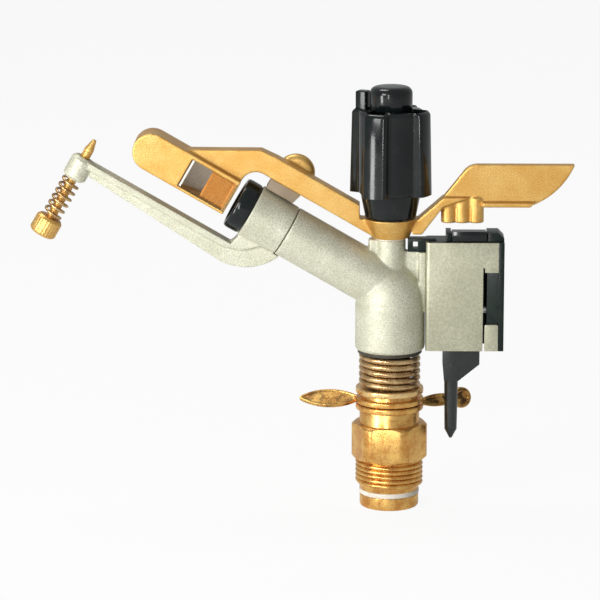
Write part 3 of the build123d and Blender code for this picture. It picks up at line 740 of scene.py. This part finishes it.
def add_spring(name, node, axes, outer_r, foot, length, turns, wire_r):
    """A coil of round wire from its foot along the drawing's Z."""
    data = coil.mesh(
        name, Radius=(outer_r - wire_r) * mm, Height=(length - 2 * wire_r) * mm,
        Turns=float(turns), Wire=wire_r * mm, Sides=14, Steps=96, Finish=finishes[slots[node]],
    )
    data.transform(in_metres(axes) @ Matrix.Translation((0, 0, (foot + wire_r) * mm)))
    return place(name, data, node)


def cut_thread_bed(bm):
    """Brings the plain cylinder under the thread down to the root of the thread."""
    for vert in bm.verts:
        r = vert.co.xy.length
        on_thread = thread_root_r * mm < r < (thread_crest_r + 0.08) * mm
        if on_thread and thread_low * mm < vert.co.z < 0.01 * mm:
            vert.co.xy *= thread_root_r * mm / r


def add_inlet():
    """The brass inlet, with its thread cut in and the thread's ridge wound round it."""
    add_edged("inlet_fitting", 0.22, cut_thread_bed)
    ridge = coil.mesh(
        "thread", Radius=thread_root_r * mm, Height=ridge_length * mm,
        Turns=ridge_length / thread_pitch, Wire=(thread_crest_r - thread_root_r) * mm,
        Flatness=0.78, Sides=10, Steps=150, Finish=finishes["inlet_brass"],
    )
    ridge.transform(Matrix.Translation((0, 0, ridge_low * mm)))
    place("inlet_thread_ridge", ridge, "inlet_fitting", hides=False)


def add_bearing():
    """The bearing tube, the three washers round it and the bearing spring."""
    add_turned("bearing_tube_turned", "bearing_tube", [
        (water_r, flange_low, 0), (flange_r, flange_low, 1.1), (flange_r, flange_top, 0.4),
        (tube_r, flange_top, 0), (tube_r, tube_top, 0), (water_r, tube_top, 0),
        (water_r, flange_low, 0),
    ])
    running = tube_r + tube_clearance
    spring_top = bearing_gap_foot + bearing_gap_l
    for node, hole, r, low, high, edge in (
        ("bearing_washer", running, bearing_washer_r, flange_top, flange_top + bearing_washer_h,
         0.5),
        ("thrust_washer", running, thrust_washer_r, bearing_gap_foot - thrust_washer_h,
         bearing_gap_foot, 0.6),
        ("seal_washer", tube_r, seal_washer_r, spring_top, spring_top + seal_washer_h, 0.3),
    ):
        add_turned(node + "_round", node, [
            (hole, low, 0), (r, low, edge), (r, high, edge), (hole, high, 0), (hole, low, 0),
        ])
    add_spring(
        "bearing_coil", "bearing_spring", swivel_axes, bearing_spring_r, bearing_gap_foot,
        bearing_gap_l, bearing_spring_turns, bearing_wire_r,
    )


def add_nozzle():
    """The nozzle, with a rounded rim round the jet's hole."""
    add_turned("nozzle_turned", "nozzle", [
        (nozzle_entry_r, nozzle_back, 0), (nozzle_thread_r, nozzle_back, 0),
        (nozzle_thread_r, collar_front, 0), (nozzle_r - 0.1, collar_front, 1.5),
        (nozzle_r, nozzle_front, 2.2), (dish_r, nozzle_front, 0.5),
        (dish_r - 0.7, nozzle_front - 1.2, 0.4), (throat_r + 0.9, nozzle_front - 1.6, 0.3),
        (throat_r, nozzle_front - 2.4, 0.3), (throat_r, throat_back, 0),
        (nozzle_entry_r, nozzle_back, 0),
    ], jet_axes)


def add_breaker():
    """The jet breaker: its pointed screw with a fluted knob, the screw's thread and its spring."""
    knob_face = -boss_low - breaker_spring_l
    knob_low = knob_face - knob_h

    def knurl(r, z, angle):
        on_rim = knob_low + 1.0 < z < knob_face - 1.2 and r > 5.0
        return r - 0.12 * (0.5 + 0.5 * cos(knob_flutes * angle)) if on_rim else r

    add_turned("breaker_screw_turned", "breaker_screw", [
        (0, screw_tip, 0), (screw_tip_r, screw_tip, 0.3), (screw_r + 0.1, screw_tip - 4.5, 0.6),
        (screw_r, screw_tip - 5.1, 0), (screw_r, knob_face, 0), (knob_end_r, knob_face, 0.2),
        (knob_r, knob_face - 1.1, 0.3), (knob_r, knob_low + 0.9, 0.3),
        (knob_end_r, knob_low, 0.3), (0, knob_low, 0),
    ], breaker_axes, 208, knurl)
    on_knob = breaker_axes.copy()
    on_knob.translation = breaker_axes @ Vector((0, 0, knob_face))
    length = screw_thread_top - knob_face
    ridge = coil.mesh(
        "screw_ridge", Radius=(screw_r - 0.05) * mm, Height=length * mm, Turns=length,
        Wire=screw_ridge_h * mm, Flatness=1.2, Sides=4, Steps=40, Finish=finishes["arm_brass"],
    )
    ridge.transform(in_metres(on_knob))
    place("breaker_screw_ridge", ridge, "breaker_screw", hides=False)
    spring = add_spring(
        "breaker_coil", "breaker_spring", on_knob, breaker_spring_r, 0, breaker_spring_l,
        breaker_spring_turns, breaker_wire_r,
    )
    anchor = in_metres(on_knob).translation
    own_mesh(spring)


def ribs(r, z, angle):
    """Four straight-sided ribs round the cap, with rounded crests and soft feet."""
    if z < rib_foot:
        return r
    over = max(0.0, z - (cap_top - rib_dome)) / rib_dome
    taper = rib_taper * (z - cap_skirt) / (cap_top - cap_skirt)
    reach = rib_r - taper - rib_dome_drop * over * over
    local = (angle - rib_turn + radians(45)) % radians(90) - radians(45)
    side = rib_half / max(abs(sin(local)), 0.05)
    rib = (reach**-rib_squareness + side**-rib_squareness) ** (-1 / rib_squareness)
    return (rib**rib_root_squareness + r**rib_root_squareness) ** (1 / rib_root_squareness)


def rounded_bar(foot, top, x0, x1, half, corner):
    """The faces of an upright bar with rounded upright edges and a domed top."""
    outline = []
    for cx, cy, start in (
        (x1 - corner, half - corner, 0), (x0 + corner, half - corner, 90),
        (x0 + corner, corner - half, 180), (x1 - corner, corner - half, 270),
    ):
        outline += [(cx, cy, radians(start + 30 * k)) for k in range(4)]
    levels = [(foot, 1.0), (top - corner, 1.0), (top - corner * 0.3, 0.7), (top, 0.1)]
    rings = [
        [(cx + corner * keep * cos(t), cy + corner * keep * sin(t), z) for cx, cy, t in outline]
        for z, keep in levels
    ]
    count = len(outline)
    faces = []
    for low, high in zip(rings, rings[1:]):
        for k in range(count):
            j = (k + 1) % count
            faces.append((low[k], low[j], high[j], high[k]))
    return faces + [tuple(reversed(rings[0])), tuple(rings[-1])]


def add_cap():
    """The tension cap with its ribs and index post, and the nut on top of it."""
    bm = bmesh.new()
    turned(bm, [
        (pin_hole_r, cap_foot, 0), (cap_foot_r, cap_foot, 0.5), (cap_skirt_r, cap_skirt, 0),
        (cap_skirt_r + 0.4, rib_foot + 0.01, 0), (cap_r, cap_skirt + 1.2, 0.4),
        (cap_r, cap_skirt + 16, 0), (cap_r, cap_top - rib_dome, 0), (cap_r, cap_top - 1.0, 0),
        (cap_r - 0.3, cap_top - 0.4, 0), (cap_r - 1.0, cap_top, 0), (pin_hole_r, cap_top, 0),
        (pin_hole_r, cap_foot, 0),
    ], steps=360, shape=ribs)
    turn = Matrix.Rotation(rib_turn + pi, 4, "Z")
    index = (index_foot, index_top, index_r - index_depth, index_r, index_half, index_corner)
    for face in rounded_bar(*index):
        bm.faces.new([bm.verts.new(turn @ Vector(v)) for v in face])
    place("cap_lobed", closed_mesh("cap_lobed", bm, 40), "tension_cap")
    foot = cap_top + cap_nut_gap
    top = foot + cap_nut_h
    add_turned("cap_nut_round", "cap_nut", [
        (0, foot, 0), (cap_nut_r - 0.2, foot, 0), (cap_nut_r, foot + 0.4, 0),
        (cap_nut_r, top - 1.8, 1.2), (cap_nut_r - 1.6, top - 0.2, 1.6), (0, top, 0),
    ])


def add_castings():
    """The castings, with their voxels in millimetres and their rounds of smoothing."""
    add_cast("head_casting", 0.40, 4)
    add_cast("swing_arm", 0.35, 3)
    add_cast("bracket_collar", 0.30, 3)
    add_cast("stop_left", 0.2, 3)
    add_cast("stop_right", 0.2, 3)


def add_sheet_and_mouldings():
    """The sheet and moulded pieces, with the width of their broken edges in millimetres."""
    add_edged("sector_housing", 0.14)
    add_edged("mechanism_frame", 0.15)
    add_edged("striker", 0.2)
    add_edged("trip_lever", 0.25)
    add_edged("arm_bumper", 0.4)
    add_edged("cover_clip", 0.1)


def add_stage():
    """A pale floor under the foot, as wide as every view needs."""
    floor_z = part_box("bearing_tube")[0][2]
    data = bpy.data.meshes.new("floor")
    signs = ((-1, -1), (1, -1), (1, 1), (-1, 1))
    corners = [(x * floor_half, y * floor_half, floor_z) for x, y in signs]
    data.from_pydata(corners, [], [(0, 1, 2, 3)])
    floor = bpy.data.objects.new("floor", data)
    bpy.context.collection.objects.link(floor)
    f = Finish("floor_paint", Roughness=0.9)
    f.set(Base_Color=f.blend(f.noise(3.0), (0.93, 0.93, 0.925), (0.95, 0.95, 0.945)))
    white = f.add("ShaderNodeEmission", None, {"Color": (1, 1, 1, 1), "Strength": 1.0})
    paint = Wire(f, f.shader.outputs[0])
    mixed = f.add("ShaderNodeMixShader", None, [f.seen_white() * floor_white, paint, white])
    f.links.new(mixed.socket, f.nodes["Material Output"].inputs[0])
    data.materials.append(f.material)


def add_world():
    """Dim light from all round, and the floor's white where the camera sees past the floor."""
    world = bpy.data.worlds.new("studio")
    tree = Shading(world)
    background = tree.nodes["Background"]
    background.inputs["Color"].default_value = (0.97, 0.985, 1.0, 1)
    strength = tree.seen_white() * (floor_seen - world_light) + world_light
    tree.links.new(strength.socket, background.inputs["Strength"])
    bpy.context.scene.world = world


def add_lamp(name, stand, aim, size, watts):
    """A soft rectangular lamp that points from its stand to the aim."""
    data = bpy.data.lights.new(name, "AREA")
    data.shape = "RECTANGLE"
    data.size, data.size_y = size
    data.energy = watts
    lamp = bpy.data.objects.new(name, data)
    lamp.location = stand
    lamp.rotation_euler = (Vector(aim) - Vector(stand)).to_track_quat("-Z", "Y").to_euler()
    bpy.context.collection.objects.link(lamp)


def add_lights():
    """A soft key, a strip beside the camera, a low lamp on the left for the gloss, and a top."""
    aim = (-0.03, 0, 0.06)
    low = 0.06
    add_lamp("key", (-0.88, -1.0, 0.52), aim, (0.5, 0.5), 8.6)
    add_lamp("strip", (-0.30, -1.15, 0.22), aim, (0.06, 0.5), 3.2)
    add_lamp("side", (-0.394, -0.308, low), (0, 0, low), (0.1, 0.15), 0.7)
    add_lamp("top", (-0.35, 0.25, 1.1), aim, (0.4, 0.4), 4)


for name, piece in nodes.items():
    dress(piece, slots[name])
add_inlet()
add_bearing()
add_nozzle()
add_breaker()
add_cap()
add_castings()
add_sheet_and_mouldings()
add_camera()
add_stage()
add_world()
add_lights()
bpy.context.scene.view_settings.view_transform = "Standard"
